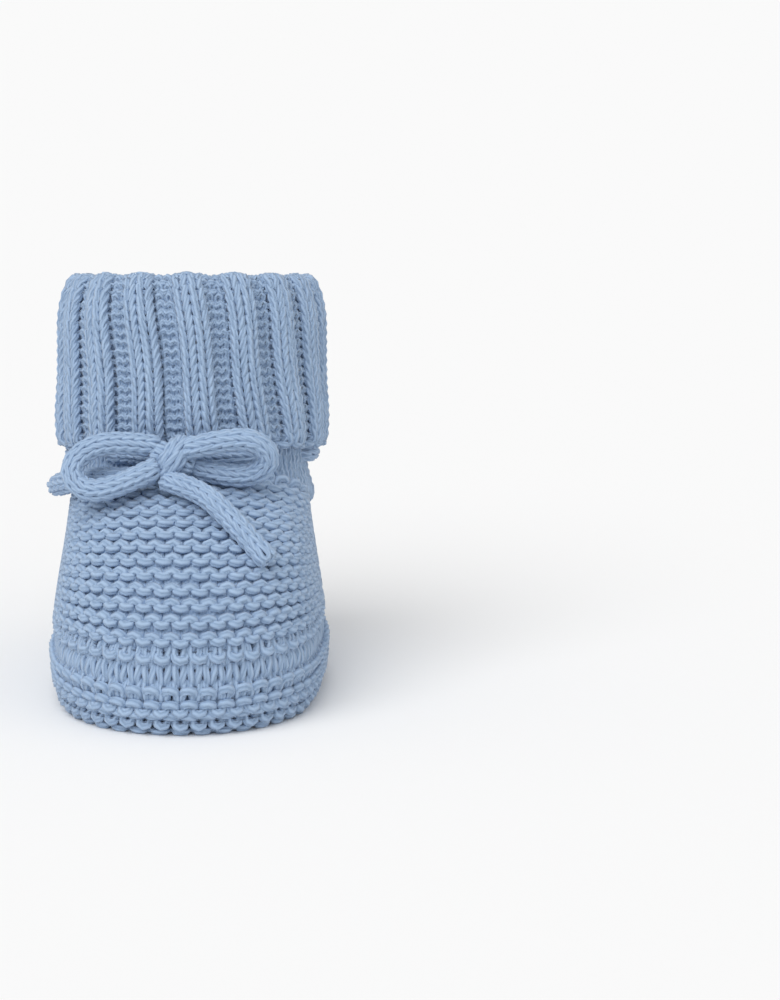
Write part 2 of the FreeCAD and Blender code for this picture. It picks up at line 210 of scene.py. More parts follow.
class Course:
    """One course of a fabric: its line on the surface, the way up to the next course and the way out."""

    def __init__(self, line, rise, out, closed, rise_length):
        if closed:
            line, rise, out = (np.vstack([values, values[:1]]) for values in (line, rise, out))
        self.reach = reach_along(line)
        self.length = self.reach[-1]
        self.closed = closed
        self.line, self.rise, self.out = line, rise / rise_length, unit(out)

    def at(self, places):
        where = np.mod(places, self.length) if self.closed else np.clip(places, 0, self.length)
        return [line_at(where, self.reach, values) for values in (self.line, self.rise, self.out)]


def courses_from(lines, closed, spacing, outward_from, inset=0.0):
    """Turns stacked outlines with matching points into courses, an inset inside the outlines."""
    stack = np.array(lines)
    rises = np.gradient(stack, axis=0)
    courses = []
    for line, rise in zip(stack, rises):
        if closed:
            along = np.roll(line, -1, axis=0) - np.roll(line, 1, axis=0)
        else:
            along = np.gradient(line, axis=0)
        out = unit(np.cross(along, rise))
        away = line - outward_from(line)
        if np.sum(np.sum(out * away, axis=1)) < 0:
            out = -out
        courses.append(Course(line - out * inset, rise, out, closed, spacing))
    return courses


# ------------------------------------------------------------------ stitches

STEPS = 14                     # points along one stitch
RIB_STEPS = 12                 # the same for the leg, the cuff and the cord
SIDES = 6                      # sides of a yarn tube
LOOP_LEAN = 0.21               # share of the stitch's width that a loop's shoulders lean
OVERLAP = 1.75                 # how far a loop reaches into the next course, in yarns
UNEVEN = 0.05                  # how much the loops' heights vary, as a share
WANDER = 0.05 * MM             # how far a course wanders up and down

# How far the yarn waves in and out, and how far knits and purls stand apart, in yarns.
GARTER_WAVE, GARTER_SHIFT = 0.42, 0.28
SMOOTH_WAVE, SMOOTH_SHIFT = 0.58, 0.15
BORDER_WAVE, BORDER_SHIFT = 0.40, 0.20
RIB_WAVE = 0.42


def loop_reach(spacing, yarn):
    """Half the height of a loop that reaches into the courses next to it."""
    return 0.5 * (spacing + OVERLAP * yarn)


class YarnMesh:
    """Gathers yarn tubes into one mesh."""

    def __init__(self):
        self.points = []
        self.faces = []
        self.around = []
        self.total = 0

    def tube(self, line, reference, radius, closed, sides=SIDES):
        count = len(line)
        if closed:
            along = unit(np.roll(line, -1, axis=0) - np.roll(line, 1, axis=0))
        else:
            along = unit(np.gradient(line, axis=0))
        across = unit(np.cross(along, reference))
        over = np.cross(across, along)
        angles = np.linspace(0, TURN, sides, endpoint=False)
        radii = np.broadcast_to(radius, (count,))[:, None, None]
        rings = (line[:, None, :] + radii * (np.cos(angles)[None, :, None] * across[:, None, :]
                                             + np.sin(angles)[None, :, None] * over[:, None, :]))
        reach = reach_along(line)
        spans = count if closed else count - 1
        first = self.total + np.arange(spans)[:, None] * sides + np.arange(sides)[None, :]
        turned = self.total + np.arange(spans)[:, None] * sides + np.roll(np.arange(sides), -1)[None, :]
        wrap = count * sides
        after = (first - self.total + sides) % wrap + self.total
        after_turned = (turned - self.total + sides) % wrap + self.total
        self.faces.append(np.stack([first, after, after_turned, turned], axis=2).reshape(-1, 4))
        self.points.append(rings.reshape(-1, 3))
        lengths = np.broadcast_to(reach[:, None], (count, sides))
        marks = np.stack([np.broadcast_to(np.cos(angles), (count, sides)),
                          np.broadcast_to(np.sin(angles), (count, sides)), lengths], axis=2)
        self.around.append(marks.reshape(-1, 3))
        self.total += wrap

    def build(self, name, material):
        points = np.vstack(self.points)
        faces = np.vstack(self.faces)
        mesh = bpy.data.meshes.new(name)
        mesh.vertices.add(len(points))
        mesh.vertices.foreach_set("co", points.astype(np.float32).ravel())
        mesh.loops.add(faces.size)
        mesh.loops.foreach_set("vertex_index", faces.astype(np.int32).ravel())
        mesh.polygons.add(len(faces))
        mesh.polygons.foreach_set("loop_start", np.arange(0, faces.size, 4, dtype=np.int32))
        mesh.update(calc_edges=True)
        mesh.validate()
        marks = mesh.attributes.new("yarn", "FLOAT_VECTOR", "POINT")
        marks.data.foreach_set("vector", np.vstack(self.around).astype(np.float32).ravel())
        mesh.polygons.foreach_set("use_smooth", np.ones(len(faces), dtype=bool))
        piece = bpy.data.objects.new(name, mesh)
        bpy.context.scene.collection.objects.link(piece)
        mesh.materials.append(material)
        return piece


def loop_line(course, start, end, count, loop, depth, front, shift, rng, steps=STEPS, whole=True,
              warp=None):
    """Centre line of the yarn along one course, and its way out.

    loop is half a loop's height, depth how far it waves in and out, front is 1 where the loops' heads lie
    outside (a purl) and -1 where their legs do (a knit stitch), one value for each stitch. shift moves
    purls out and knits in, whole closes the line on a closed course, and warp places the stitches.
    """
    closed = course.closed and whole
    samples = count * steps + (0 if closed else 1)
    turn = np.linspace(0, TURN * count, samples, endpoint=not closed)
    pitch = (end - start) / count
    stitch = np.minimum((turn / TURN).astype(int), count - 1)
    front = np.broadcast_to(front, (count,))[stitch]
    uneven = 1 + UNEVEN * np.interp(turn, np.linspace(0, TURN * count, 2 * count),
                                    np.resize(rng.standard_normal(2 * count - 1), 2 * count))
    stitches = turn / TURN + LOOP_LEAN * np.sin(2 * turn)
    places = start + (pitch * stitches if warp is None else warp(stitches, course))
    height = -loop * np.cos(turn) * uneven
    out = front * depth * np.cos(2 * turn) + front * shift
    line, rise, normal = course.at(places)
    wander = np.interp(turn, np.linspace(0, TURN * count, count + 1), np.resize(
        rng.standard_normal(count) * WANDER, count + 1))
    return line + rise * (height + wander)[:, None] + normal * out[:, None], normal


# ------------------------------------------------------------------ materials

def add_node(tree, kind, **inputs):
    made = tree.nodes.new(kind)
    for name, value in inputs.items():
        made.inputs[name].default_value = value
    return made


def ply_group():
    """Node group: the twist of the yarn's plies and its fine fuzz as a height, and a share of painted shade
    in the grooves between the plies, mixed with random patches of tone.
    """
    name = "Yarn ply"
    if name in bpy.data.node_groups:
        return bpy.data.node_groups[name]
    group = bpy.data.node_groups.new(name, "ShaderNodeTree")
    face = group.interface
    for label, value in (("Plies", 4.0), ("Twists per metre", 190.0)):
        socket = face.new_socket(name=label, in_out="INPUT", socket_type="NodeSocketFloat")
        socket.default_value = value
    for label in ("Height", "Tint"):
        face.new_socket(name=label, in_out="OUTPUT", socket_type="NodeSocketFloat")
    entry = group.nodes.new("NodeGroupInput")
    leave = group.nodes.new("NodeGroupOutput")
    marks = group.nodes.new("ShaderNodeAttribute")
    marks.attribute_name = "yarn"
    parts = group.nodes.new("ShaderNodeSeparateXYZ")
    group.links.new(marks.outputs["Vector"], parts.inputs[0])

    def sums(operation, first, second=None):
        made = group.nodes.new("ShaderNodeMath")
        made.operation = operation
        for socket, value in zip(made.inputs, (first, second)):
            if hasattr(value, "is_linked"):
                group.links.new(value, socket)
            elif value is not None:
                socket.default_value = value
        return made.outputs[0]

    angle = sums("ARCTAN2", parts.outputs[1], parts.outputs[0])
    spun = sums("MULTIPLY", angle, entry.outputs["Plies"])
    along = sums("MULTIPLY", sums("MULTIPLY", parts.outputs[2], entry.outputs["Twists per metre"]), TURN)
    ply = sums("ABSOLUTE", sums("SINE", sums("MULTIPLY", sums("ADD", spun, along), 0.5)))
    place = group.nodes.new("ShaderNodeTexCoord")
    fuzz = add_node(group, "ShaderNodeTexNoise", Scale=2600.0, Detail=3.0, Roughness=0.6)
    group.links.new(place.outputs["Object"], fuzz.inputs["Vector"])
    patches = add_node(group, "ShaderNodeTexNoise", Scale=240.0, Detail=2.0)
    group.links.new(place.outputs["Object"], patches.inputs["Vector"])
    height = sums("ADD", ply, sums("MULTIPLY", fuzz.outputs["Fac"], 0.7))
    # Painted shade: low ply values darken the grooves between the plies; the patches are random tone in the
    # cotton.
    groove_shade_and_tone = sums("ADD", sums("MULTIPLY", ply, 0.5), sums("MULTIPLY", patches.outputs["Fac"], 0.5))
    group.links.new(height, leave.inputs["Height"])
    group.links.new(groove_shade_and_tone, leave.inputs["Tint"])
    return group


def cotton(name, colour, shade, relief=0.85):
    """Matt cotton yarn: plied, slightly fuzzy, with painted shade in the grooves between the plies and
    random patches of tone.
    """
    material = bpy.data.materials.get(name)
    if material:
        return material
    material = bpy.data.materials.new(name)
    material.use_nodes = True
    tree = material.node_tree
    shader = tree.nodes["Principled BSDF"]
    shader.inputs["Roughness"].default_value = 0.85
    shader.inputs["Specular IOR Level"].default_value = 0.25
    shader.inputs["Sheen Weight"].default_value = 0.25
    shader.inputs["Sheen Roughness"].default_value = 0.45
    ply = tree.nodes.new("ShaderNodeGroup")
    ply.node_tree = ply_group()
    ramp = tree.nodes.new("ShaderNodeValToRGB")
    ramp.color_ramp.elements[0].position = 0.15
    ramp.color_ramp.elements[1].position = 0.85
    # The ramp's dark end is painted shade: the colour scaled by shade, bluer than the lit end.
    ramp.color_ramp.elements[0].color = [*(part * share for part, share in zip(colour, shade)), 1]
    ramp.color_ramp.elements[1].color = [*colour, 1]
    tree.links.new(ply.outputs["Tint"], ramp.inputs[0])
    tree.links.new(ramp.outputs["Color"], shader.inputs["Base Color"])
    bump = add_node(tree, "ShaderNodeBump", Strength=relief, Distance=0.22 * MM)
    tree.links.new(ply.outputs["Height"], bump.inputs["Height"])
    tree.links.new(bump.outputs["Normal"], shader.inputs["Normal"])
    return material


def yarn_material():
    return cotton("Cotton yarn", tuple(knit().colour), (0.62, 0.67, 0.73))


def cord_material():
    return cotton("Cotton cord", tuple(knit().colour), (0.64, 0.69, 0.75), 0.45)


def painted_shade_material():
    """The knitting behind the front loops, in painted shade: a darker colour that stands for the shade in
    the gaps.
    """
    return cotton("Cotton painted shade", tuple(knit().painted_gap_shade), (0.75, 0.75, 0.75))


def finish_piece(piece, body, slot, *nodes):
    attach(piece, body)
    if nodes:
        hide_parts(*nodes)


def finish_yarn(fabric, name, body, slot, *nodes):
    """Turns gathered yarn into a piece on a body, which may stand for some of the frame's nodes."""
    finish_piece(fabric.build(name, yarn_material()), body, slot, *nodes)


def sheet_piece(name, points, faces, body, slot):
    """A plain sheet of the fabric behind the loops, in the painted shade colour."""
    made = bpy.data.meshes.new(name)
    made.from_pydata([tuple(point) for point in points], [], faces)
    made.materials.append(painted_shade_material())
    piece = bpy.data.objects.new(name, made)
    bpy.context.scene.collection.objects.link(piece)
    finish_piece(piece, body, slot)
    return made


def skin(name, courses, inwards, body, slot):
    """The fabric behind knitted courses: a sheet from each course to the next, just behind them, in painted
    shade.
    """
    rows = [course.line[:-1:2] - course.out[:-1:2] * inwards for course in courses]
    around = len(rows[0])
    faces = []
    for row in range(len(rows) - 1):
        for place in range(around):
            beside = (place + 1) % around
            faces.append((row * around + place, row * around + beside,
                          (row + 1) * around + beside, (row + 1) * around + place))
    made = sheet_piece(name, np.vstack(rows), faces, body, slot)
    made.polygons.foreach_set("use_smooth", [True] * len(faces))


def backing(name, nodes, body, slot, inwards, below):
    """The fabric behind the loops, in painted shade: the frame's shape, a little smaller, below a height on
    the leg's axis.
    """
    points = []
    faces = []
    for mesh in [frame["nodes"][node].data for node in nodes]:
        first = len(points)
        points += [vertex.co - vertex.normal * inwards for vertex in mesh.vertices]
        faces += [[first + index for index in polygon.vertices] for polygon in mesh.polygons
                  if np.dot(np.array(polygon.center) - LEG_FOOT, LEG_UP) < below]
    sheet_piece(name, points, faces, body, slot)


# ------------------------------------------------------------------ foot

UNDERCUT = 1.0 * MM            # how far the rim draws in under the foot
UNDERCUT_HEIGHT = 7 * MM       # the height at which it stops drawing in
FOOT_INSET = 1.05 * MM         # the yarn's middle lies this far inside the foot's surface
FOOT_WAVES = 24                # waves kept in a level outline of the foot
FAN_WAVES = 26                 # waves kept in a leaning outline of the foot
RING_POINTS = 360
INSTEP_LENGTH = 50 * MM        # length of the instep over its front
INSTEP_POINTS = 260
QUARTER_POINTS = 300
WRAP_REACH = 62 * MM           # how far a course may run from its middle to either side
RIM_COURSES = 5
BAND_COURSES = 3
BAND_GAUGE = 1.2               # stitches of the band to one of the rim
SOLE_GAUGE = 0.95              # thickness and spacing of the sole's yarn against the upper's
SOLE_POINTS = 120
BORDER_POINTS = 300
BORDER_FRONTS = (1, -1, 1, -1, -1, -1)     # purl or knit, for the border's courses from the outside in
BORDER_SPINE = 18 * MM         # half length of the line that the sole's border closes in on


def foot_middle(surface, height):
    """Middle of the foot, heel to toe, at a height."""
    front = surface.ray_cast(Vector((0, -FAR, height)), Vector((0, 1, 0)))[0]
    back = surface.ray_cast(Vector((0, FAR, height)), Vector((0, -1, 0)))[0]
    return np.array((0.0, 0.5 * (front.y + back.y), height))


def foot_rings(surface, heights, count=300):
    lines = []
    for height in heights:
        outline = ring(surface, foot_middle(surface, height), FORWARD, SIDEWAYS)
        lines.append(even(smoothed(outline, FOOT_WAVES), count))
    return lines


def inside_of(line):
    return line.mean(axis=0)


def over_sole(line):
    return line + UP * 0.1


def garter(fabric, courses, spans, yarn, rng, first_purl=0, loop_share=1.0, rounds=None):
    """Alternate knit and purl courses.

    spans gives each course's start and end, and rounds the number of stitches in a closed course.
    """
    loop = loop_reach(knit().ridge / 2, yarn) * loop_share
    for number, (course, (start, end)) in enumerate(zip(courses, spans)):
        count = rounds or max(2, round((end - start) / knit().stitch))
        front = 1 if (number + first_purl) % 2 == 0 else -1
        whole = course.closed and abs(end - start - course.length) < 1e-6
        line, normal = loop_line(course, start, end, count, loop, GARTER_WAVE * yarn, front,
                                 GARTER_SHIFT * yarn, rng, whole=whole)
        line[:, 2] = np.maximum(line[:, 2], yarn / 2)
        fabric.tube(line, normal, yarn / 2, whole)


def stockinette(fabric, courses, spacing, yarn, count, rng):
    """Closed courses of knit stitches."""
    for course in courses:
        line, normal = loop_line(course, 0, course.length, count, loop_reach(spacing, yarn),
                                 SMOOTH_WAVE * yarn, -1, SMOOTH_SHIFT * yarn, rng)
        fabric.tube(line, normal, yarn / 2, True)


def part_spans(courses, kept_side):
    """Whole stitches of each course within the stretch where kept_side holds, about its middle."""
    stitch = knit().stitch
    spans = []
    for course in courses:
        kept = course.reach[np.array([kept_side(point) for point in course.line])]
        columns = round((kept[-1] - kept[0]) / stitch / 2) * stitch
        middle = course.reach[len(course.reach) // 2]
        spans.append((middle - columns, middle + columns))
    return spans


def rear_edge(height):
    """Where the instep ends and the quarters begin, at a height, heel to toe: the seam between them."""
    low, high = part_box("instep_seam_right")
    share = (height - low.z) / (high.z - low.z)
    reach = 0.45 * (high.z - low.z)
    return low.y + 0.8 * MM + reach * min(max(share, 0.0), 1.0)


def knit_wall(surface):
    """The rim's two garter ridges and the stockinette band above them, all the way round."""
    rng = np.random.default_rng(11)
    yarn = knit().yarn
    band_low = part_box("stockinette_band")[0].z
    band_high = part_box("stockinette_band")[1].z
    rim_heights = np.linspace(1.7 * MM, band_low - 1.6 * MM, RIM_COURSES)
    rim = courses_from(foot_rings(surface, rim_heights), True, rim_heights[1] - rim_heights[0],
                       inside_of, FOOT_INSET)
    for course, height in zip(rim, rim_heights):
        course.line = course.line - course.out * UNDERCUT * max(0.0, 1 - height / UNDERCUT_HEIGHT) ** 1.5
    fabric = YarnMesh()
    spans = [(0, course.length) for course in rim]
    rounds = 2 * round(rim[2].length / knit().stitch / 2)
    garter(fabric, rim, spans, yarn, rng, rounds=rounds)
    finish_yarn(fabric, "rim_welt_stitches", "foot", "foot_knit", "rim_welt", "sole_seam")
    band_heights = np.linspace(band_low + 0.3 * MM, band_high + 0.2 * MM, BAND_COURSES)
    spacing = band_heights[1] - band_heights[0]
    band = courses_from(foot_rings(surface, band_heights), True, spacing, inside_of, FOOT_INSET)
    fabric = YarnMesh()
    stockinette(fabric, band, spacing, 0.86 * yarn, round(BAND_GAUGE * rounds), rng)
    finish_yarn(fabric, "band_stitches", "foot", "foot_knit", "stockinette_band")


def instep_lines(surface, count):
    """Outlines of the instep's courses: planes that fan out from a line behind the heel."""
    low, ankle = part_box("instep_panel")
    pivot = np.array((0.0, 42 * MM, low.z + 1.0 * MM))
    front = []
    for height in np.linspace(low.z + 1.9 * MM, ankle.z - 0.3 * MM, 160):
        hit = surface.ray_cast(Vector((0, -FAR, height)), Vector((0, 1, 0)))[0]
        if hit is not None:
            front.append((0.0, hit.y, hit.z))
    front = even(np.array(front), count, closed=False)
    lines = []
    for point in front:
        forward = unit(point - pivot)
        middle = pivot + forward * min(np.linalg.norm(point - pivot) * 0.5, 40 * MM)
        lines.append(smoothed(ring(surface, middle, forward, SIDEWAYS, RING_POINTS), FAN_WAVES))
    return lines


def centred(line, count, reach):
    """An outline cut to the stretch within a reach of its front, as evenly spaced points."""
    places = reach_along(line)
    places -= places[len(line) // 2]
    return line_at(np.linspace(-reach, reach, count), places, line)


def knit_instep(surface):
    """Garter ridges across the instep, cut off at the seams to the quarters."""
    rng = np.random.default_rng(12)
    yarn = knit().yarn
    count = round(INSTEP_LENGTH / (knit().ridge / 2))
    lines = [centred(line, INSTEP_POINTS, WRAP_REACH) for line in instep_lines(surface, count)]
    middle = len(lines) // 2
    front = INSTEP_POINTS // 2
    step = np.linalg.norm(lines[middle][front] - lines[middle - 1][front])
    courses = courses_from(lines, False, step, inside_of, FOOT_INSET)
    spans = part_spans(courses, lambda point: point[1] < rear_edge(point[2]))
    fabric = YarnMesh()
    garter(fabric, courses, spans, yarn, rng)
    finish_yarn(fabric, "instep_stitches", "foot", "foot_knit", "instep_panel")


def knit_quarters(surface):
    """Garter sides and heel, their courses running round the back of the foot."""
    rng = np.random.default_rng(13)
    yarn = knit().yarn
    spacing = knit().ridge / 2
    low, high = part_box("quarter_right")
    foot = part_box("stockinette_band")[1].z + 1.5 * MM
    back_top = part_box("heel_seam")[1].z
    heights = np.arange(foot, high.z, spacing)
    rise = (high.z - back_top) / (high.y - low.y)
    lines = []
    for height, part in zip(heights, np.linspace(0, 1, len(heights))):
        tilt = np.array((0.0, -1.0, rise * part))
        level = min(height, back_top)
        middle = foot_middle(surface, level) + UP * (height - level)
        outline = smoothed(ring(surface, middle, unit(tilt), SIDEWAYS, RING_POINTS), FAN_WAVES)
        lines.append(centred(np.roll(outline, RING_POINTS // 2, axis=0), QUARTER_POINTS, WRAP_REACH))
    courses = courses_from(lines, False, spacing, inside_of, FOOT_INSET)
    spans = part_spans(courses, lambda point: point[1] > rear_edge(point[2]))
    fabric = YarnMesh()
    garter(fabric, courses, spans, yarn, rng, first_purl=1)
    finish_yarn(fabric, "quarter_stitches", "foot", "foot_knit", "quarter_left", "quarter_right")


def knit_sole(surface):
    """The garter panel under the foot and the border round it."""
    rng = np.random.default_rng(14)
    yarn, stitch = knit().yarn * SOLE_GAUGE, knit().stitch
    spacing = knit().ridge / 2 * SOLE_GAUGE
    low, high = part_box("sole_panel")
    sole = low.z + 0.75 * yarn
    half = high.x - 0.4 * MM
    count = 2 * round(half / spacing) + 1
    length = high.y - low.y
    places = np.linspace(-half, half, count)
    along = np.linspace(low.y - 3 * MM, high.y + 3 * MM, SOLE_POINTS)
    lines = [np.stack([np.full(SOLE_POINTS, across), along, np.full(SOLE_POINTS, sole)], axis=1)
             for across in places]
    courses = courses_from(lines, False, 2 * half / (count - 1), over_sole)
    spans = []
    radius = high.x
    for course, across in zip(courses, places):
        inset = radius - math.sqrt(max(radius ** 2 - across ** 2, 0.0))
        inset = min(inset, radius * 0.85)
        columns = round((length / 2 - inset) / stitch) * stitch
        middle = course.length / 2
        spans.append((middle - columns, middle + columns))
    fabric = YarnMesh()
    garter(fabric, courses, spans, yarn, rng, loop_share=0.95)
    finish_yarn(fabric, "sole_panel_stitches", "foot", "sole_knit", "sole_panel")
    outline = smoothed(ring(surface, np.array((0.0, 0.0, 0.4 * MM)), FORWARD, SIDEWAYS), FOOT_WAVES)
    outline = even(outline, BORDER_POINTS)
    outline[:, 2] = sole
    spine = np.stack([np.zeros(BORDER_POINTS), np.clip(outline[:, 1], -BORDER_SPINE, BORDER_SPINE),
                      np.full(BORDER_POINTS, sole)], axis=1)
    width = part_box("sole_border")[1].y - high.y + 0.5 * MM
    inner = outline - unit(outline - spine) * width
    lines = [even(outline + (inner - outline) * share, BORDER_POINTS)
             for share in np.linspace(0.13, 0.88, len(BORDER_FRONTS))]
    gap = np.linalg.norm(lines[1][0] - lines[0][0])
    courses = courses_from(lines, True, gap, over_sole)
    fabric = YarnMesh()
    rounds = 2 * round(courses[2].length / stitch / 2)
    for front, course in zip(BORDER_FRONTS, courses):
        loops, normal = loop_line(course, 0, course.length, rounds, loop_reach(gap, yarn),
                                  BORDER_WAVE * yarn, front, BORDER_SHIFT * yarn, rng)
        loops[:, 2] = np.maximum(loops[:, 2], yarn / 2)
        fabric.tube(loops, normal, yarn / 2, True)
    finish_yarn(fabric, "sole_border_stitches", "foot", "sole_knit", "sole_border")


# ------------------------------------------------------------------ leg and cuff

LEG_FOOT = np.array((0.0, 14 * MM, 44 * MM))      # middle of the ankle, where the leg's axis starts
LEG_HALF_WIDTH = 23.8 * MM
LEG_HALF_DEPTH = 21.0 * MM
LEG_FABRIC = 2.2 * MM
LEG_STITCHES = 48
FLARE = 0.3                    # how fast the fabric spreads below the ankle
OVAL_POINTS = 640

# Heights along the leg's axis.
BAND_LOW = -4.4 * MM
BAND_TOP = 7.0 * MM
CUFF_HEM = 6.3 * MM
CUFF_TOP = 40.4 * MM
LEG_TOP = 37.5 * MM

CUFF_OUT = 3.1 * MM            # the cuff's mean reach over the leg tube
RIB_DEPTH = 1.4 * MM           # how far the ribs stand out
FOLD_RADIUS = 1.6 * MM
NARROWING = 1.5 * MM           # how much the cuff draws in towards its fold
TUCKED = 9 * MM                # how far the cuff's fabric runs down inside the fold
CHAIN_DROP = 1.2 * MM          # the edge chain hangs this far below the last course


def leg_axis_point(height):
    """A point on the leg's axis, a height above the foot of the eyelet band."""
    return LEG_FOOT + LEG_UP * height


def leg_ellipse(height, half_width, half_depth, count, wave=None, lift=0.0):
    """An oval course round the leg's axis, from the back round the +X side, with a wave in its reach."""
    turn = np.linspace(-math.pi, math.pi, count, endpoint=False)
    push = wave(turn) if wave else np.zeros(count)
    if wave:
        below = max(0.0, (CUFF_TOP - height) / (CUFF_TOP - CUFF_HEM))
        twist = RIB_TWIST * below * (1 + 0.5 * np.sin(2 * turn + 0.8))
        turn = turn + twist + 0.018 * np.sin(3 * turn + 5 * below)
    centre = leg_axis_point(height) + np.outer(lift * push, LEG_UP)
    across = (half_width + push) * np.sin(turn)
    along = (half_depth + push) * np.cos(turn)
    return centre + across[:, None] * SIDEWAYS - along[:, None] * LEG_BACK


RIB_REPEAT = (-1, 1, 1, -1)      # from the middle of a raised rib: knit, two purls in the trough, knit
KNIT_SHARE = 0.30                # share of the repeat that each knit stitch takes up
SCALLOP = 0.45                   # how far a rib rises at the fold, as a share of how far it stands out
RIB_TWIST = 0.11                 # how far the ribs lean round the leg, fold to hem, in radians
RIB_VARIETY = 0.16               # how much the ribs differ, as a share


def rib_warp(stitches, course):
    """Places of stitches along a ribbed course: knit stitches wide, purls drawn together in the trough."""
    repeats = knit().ribs
    stops = np.array((0.0, 1.0, 2.0, 3.0, 4.0))
    shares = np.array((0.0, KNIT_SHARE, 0.5, 1 - KNIT_SHARE, 1.0))
    whole = np.floor(stitches / 4)
    inside = np.interp(stitches - 4 * whole, stops, shares)
    share = np.mod((whole + inside) / repeats, 1.0) * (len(course.reach) - 1)
    return np.interp(share, np.arange(len(course.reach)), course.reach) + np.floor(
        (whole + inside) / repeats) * course.length


def rib_wave(depth):
    """How far the fabric stands out round the cuff: raised over each rib, drawn in at each trough."""
    ribs = knit().ribs
    fullness = 1 + RIB_VARIETY * np.random.default_rng(7).standard_normal(ribs)

    def wave(turn):
        each = np.interp(np.mod(turn, TURN), np.linspace(0, TURN, ribs + 1),
                         np.append(fullness, fullness[0]))
        return depth * each * np.tanh(1.7 * (np.cos(turn * ribs) + 0.22))
    return wave


def cuff_profile():
    """The cuff's courses: up the outside, over the fold and down into the leg.

    Each has its height, its reach over the leg tube and its share of the ribs' depth. The second value is
    how many courses lie on the outside.
    """
    course = knit().rib_course
    top = CUFF_TOP - FOLD_RADIUS
    inner = CUFF_OUT - NARROWING - FOLD_RADIUS
    outside = np.arange(CUFF_HEM + 1.0 * MM, top, course)
    belly = 0.5 * MM * np.exp(-((outside - CUFF_HEM - 5 * MM) / (6 * MM)) ** 2)
    belly -= NARROWING * np.clip((outside - top) / (8 * MM) + 1, 0, 1) ** 2
    profile = [(height, CUFF_OUT + bulge, 1.0) for height, bulge in zip(outside, belly)]
    for angle in np.radians((25, 65, 105, 145)):
        profile.append((top + FOLD_RADIUS * math.sin(angle), inner + FOLD_RADIUS * math.cos(angle), 0.8))
    for height in np.arange(top - 1.0 * MM, top - TUCKED, -course):
        profile.append((height, inner - FOLD_RADIUS, 0.35))
    return profile, len(outside)


def leg_courses(profile, wave_depth, spacing):
    """Closed courses round the leg's axis, from heights, reaches and shares of the ribs' depth."""
    lines = []
    for height, reach, share in profile:
        lift = SCALLOP * min(max((height - CUFF_TOP) / (6 * MM) + 1, 0.0), 1.0)
        lines.append(leg_ellipse(height, LEG_HALF_WIDTH + reach, LEG_HALF_DEPTH + reach, OVAL_POINTS,
                                 rib_wave(wave_depth * share), lift))
    return courses_from(lines, True, spacing, inside_of)


def outward_profile_courses(profile, wave_depth, spacing):
    """Courses of a fabric that folds over: the way out follows the fold."""
    courses = leg_courses(profile, wave_depth, spacing)
    heights = np.array([part[0] for part in profile])
    reaches = np.array([part[1] for part in profile])
    for course, up, out in zip(courses, np.gradient(heights), np.gradient(reaches)):
        arm = course.line - LEG_FOOT
        radial = unit(arm - np.outer(arm @ LEG_UP, LEG_UP))
        course.out = unit(radial * up - LEG_UP * out)
    return courses


def knit_cuff():
    """The turned-down 2 x 2 rib cuff and its fold."""
    rng = np.random.default_rng(21)
    yarn = knit().rib_yarn
    spacing = knit().rib_course
    count = 4 * knit().ribs
    profile, outside = cuff_profile()
    courses = outward_profile_courses(profile, RIB_DEPTH, spacing)
    front = np.resize(RIB_REPEAT, count)

    def lay(name, part, *nodes):
        fabric = YarnMesh()
        for course in part:
            line, normal = loop_line(course, 0, course.length, count, loop_reach(spacing, yarn),
                                     RIB_WAVE * yarn, front, 0, rng, steps=RIB_STEPS, warp=rib_warp)
            fabric.tube(line, normal, yarn / 2, True)
        finish_yarn(fabric, name, "cuff", "rib_knit", *nodes)

    lay("cuff_rib_stitches", courses[:outside], "turned_cuff")
    lay("cuff_fold_stitches", courses[outside:])
    skin("cuff_back", courses, 0.45 * yarn, "cuff", "rib_knit")
    fabric = YarnMesh()
    hem = courses[0]
    line, normal = loop_line(hem, 0, hem.length, count, 0.75 * MM, 0.35 * yarn, 1, -0.35 * MM, rng,
                             steps=RIB_STEPS, warp=rib_warp)
    fabric.tube(line - LEG_UP * CHAIN_DROP, normal, 0.5 * yarn, True)
    finish_yarn(fabric, "cuff_edge_chain", "cuff", "rib_knit", "cuff_edge")


def knit_leg():
    """The leg under the cuff and the eyelet band at the ankle."""
    rng = np.random.default_rng(22)
    yarn = knit().rib_yarn * 1.05

    def lay(name, heights, reach, node):
        spacing = heights[1] - heights[0]
        profile = [(height, reach + FLARE * max(0.0, -height), 0.0) for height in heights]
        courses = leg_courses(profile, 0.0, spacing)
        fabric = YarnMesh()
        for course in courses:
            line, normal = loop_line(course, 0, course.length, LEG_STITCHES, loop_reach(spacing, yarn),
                                     RIB_WAVE * yarn, -1, 0, rng, steps=RIB_STEPS)
            fabric.tube(line, normal, yarn / 2, True)
        finish_yarn(fabric, name, "foot", "leg_knit", node)
        skin(name.replace("stitches", "back"), courses, 0.3 * yarn, "foot", "leg_knit")

    leg_heights = np.arange(BAND_TOP + 0.6 * MM, LEG_TOP - 1.0 * MM, 2.1 * MM)
    lay("leg_stitches", leg_heights, -0.5 * LEG_FABRIC, "leg_tube")
    lay("eyelet_band_stitches", np.linspace(BAND_LOW, BAND_TOP, 8), 0.1 * MM, "eyelet_band")


SEAMS = (("heel_seam", "foot", "foot_knit"), ("instep_seam_left", "foot", "foot_knit"),
         ("instep_seam_right", "foot", "foot_knit"), ("leg_seam", "foot", "leg_knit"),
         ("cuff_seam", "cuff", "rib_knit"))
SEAM_POINTS = 60
SEAM_STITCH = 2.2 * MM
SEAM_SWING = 1.1 * MM          # how far the sewing yarn swings to either side
SEAM_RISE = 0.35 * MM          # how far it waves in and out
SEAM_OUT = 0.5 * MM            # how far it stands out from the seam's middle


